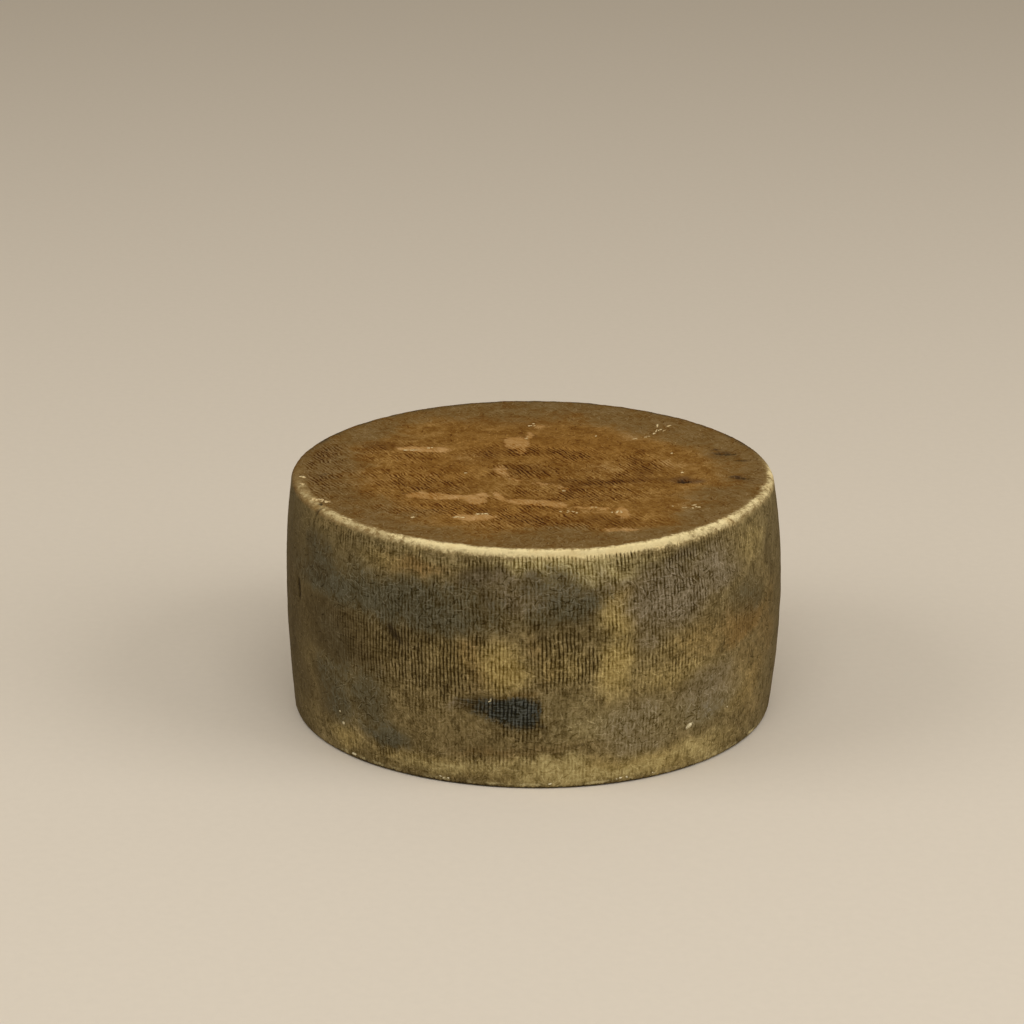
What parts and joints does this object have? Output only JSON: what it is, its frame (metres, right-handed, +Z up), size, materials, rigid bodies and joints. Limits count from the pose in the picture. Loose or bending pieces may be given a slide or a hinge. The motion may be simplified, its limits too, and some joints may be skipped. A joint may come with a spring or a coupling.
{
  "type": "aged sheep cheese wheel",
  "caption": "Whole wheel of aged sheep cheese: a low pressed drum with a swollen ribbed side, a worn pale rim and a dry, mottled brown and grey rind.",
  "frame": {"origin": "middle of the base, on the surface that the wheel rests on", "axes": "+Z up through the wheel, -Y towards the side that the picture shows"},
  "size_m": [0.2002, 0.1998, 0.0973],
  "materials": {
    "aged_rind": "dry matt rind, brown with grey and blue-grey mould, fine pressed ribs, rubbed to pale straw yellow round the top edge"
  },
  "bodies": {
    "root": {"cheese_wheel": "aged_rind"}
  },
  "joints": []
}
